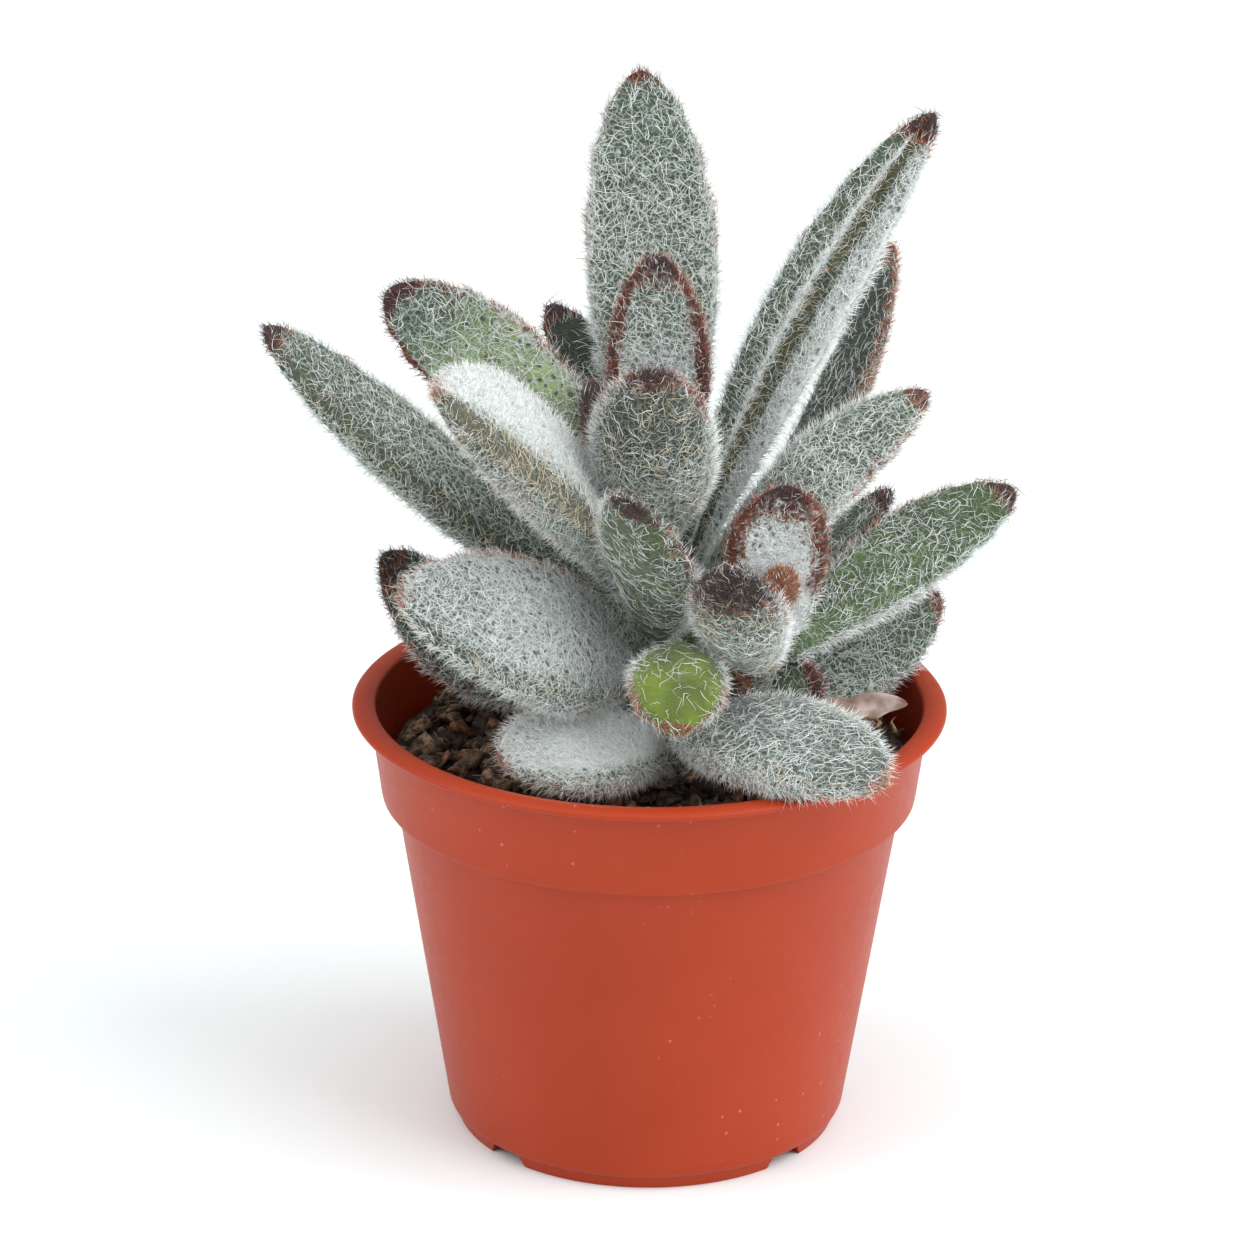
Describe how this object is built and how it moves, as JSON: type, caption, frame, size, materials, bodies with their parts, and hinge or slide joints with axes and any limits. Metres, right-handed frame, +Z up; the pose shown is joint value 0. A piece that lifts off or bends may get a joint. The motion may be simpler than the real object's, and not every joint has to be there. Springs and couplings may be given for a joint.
{
  "type": "potted panda plant",
  "caption": "Felted succulent rosette with thick silver-green leaves, dark brown tips and toothed margins, standing in bark soil in a tapered plastic nursery pot.",
  "frame": {"origin": "centre of the bounding box at the foot of the pot, about on the pot's axis, on the surface it stands on", "axes": "+Z up the pot's axis and the main stem, -Y towards the pictured front"},
  "size_m": [0.1317, 0.105, 0.185],
  "materials": {
    "pot_plastic": "satin terracotta-coloured plastic",
    "soil_bark": "damp bark chips and peat",
    "stem": "felted",
    "leaf_silver": "felted with silver hairs",
    "leaf_green": "felted, green showing through",
    "leaf_young": "densely felted, rust margin",
    "bud": "rust-coloured felt",
    "dry_leaf": "papery"
  },
  "bodies": {
    "root": {"bud_offset": "bud", "bud_side": "bud", "leaf_back_small": "leaf_silver", "leaf_dry": "dry_leaf", "leaf_front_droop": "leaf_green", "leaf_front_green": "leaf_green", "leaf_heart_back": "leaf_young", "leaf_heart_front": "leaf_young", "leaf_heart_left": "leaf_young", "leaf_left_big": "leaf_silver", "leaf_left_long": "leaf_silver", "leaf_left_low": "leaf_silver", "leaf_left_up": "leaf_green", "leaf_left_white": "leaf_silver", "leaf_low_left": "leaf_silver", "leaf_low_right": "leaf_silver", "leaf_offset_back": "leaf_young", "leaf_offset_front": "leaf_young", "leaf_rear_left": "leaf_silver", "leaf_rear_low": "leaf_silver", "leaf_rear_low_left": "leaf_silver", "leaf_rear_mid": "leaf_silver", "leaf_rear_right": "leaf_silver", "leaf_right_back": "leaf_green", "leaf_right_low": "leaf_green", "leaf_right_mid": "leaf_silver", "leaf_right_small": "leaf_silver", "leaf_right_tall": "leaf_silver", "leaf_right_under": "leaf_silver", "leaf_side": "leaf_green", "leaf_tall": "leaf_silver", "pot": "pot_plastic", "soil": "soil_bark", "stem_front": "stem", "stem_main": "stem", "stem_offset": "stem"}
  },
  "joints": []
}
